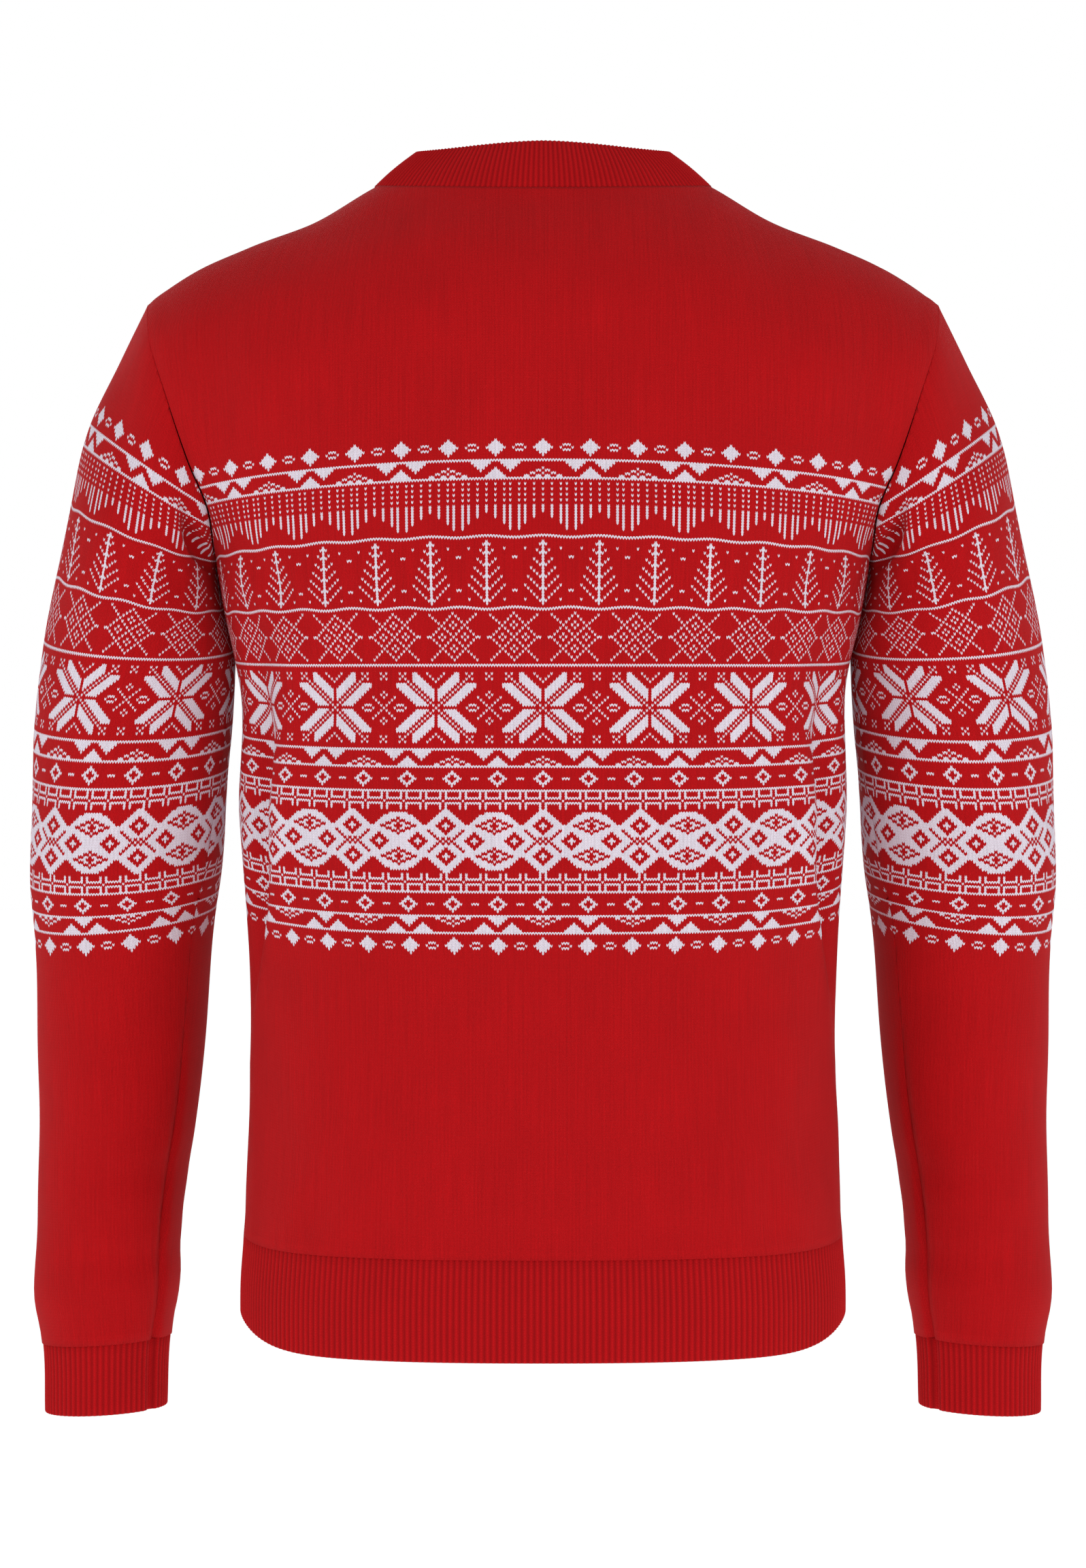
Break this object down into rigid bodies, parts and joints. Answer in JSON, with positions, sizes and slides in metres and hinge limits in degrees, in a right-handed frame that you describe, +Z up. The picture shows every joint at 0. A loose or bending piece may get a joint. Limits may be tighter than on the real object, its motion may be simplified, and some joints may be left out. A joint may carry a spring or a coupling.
{
  "type": "christmas jumper",
  "caption": "Long-sleeved knitted Christmas jumper, filled out and hollow, with a wide patterned band, ribbed neckband, hem and cuffs.",
  "frame": {"origin": "middle of the base of the neck, at the height where the shoulder seams meet the neckband, where the wearer's shoulders hold the jumper", "axes": "+Z up, the front faces -Y, the wearer's left side is +X"},
  "size_m": [0.5966, 0.2433, 0.7314],
  "materials": {
    "knit": "matte fine-gauge jacquard knit, red with a white pattern band",
    "rib": "matte one-by-one rib knit, red"
  },
  "bodies": {
    "root": {"back": "knit", "front": "knit", "sleeve_left": "knit", "sleeve_right": "knit", "neckband": "rib", "hem_rib": "rib", "cuff_left": "rib", "cuff_right": "rib"}
  },
  "joints": []
}
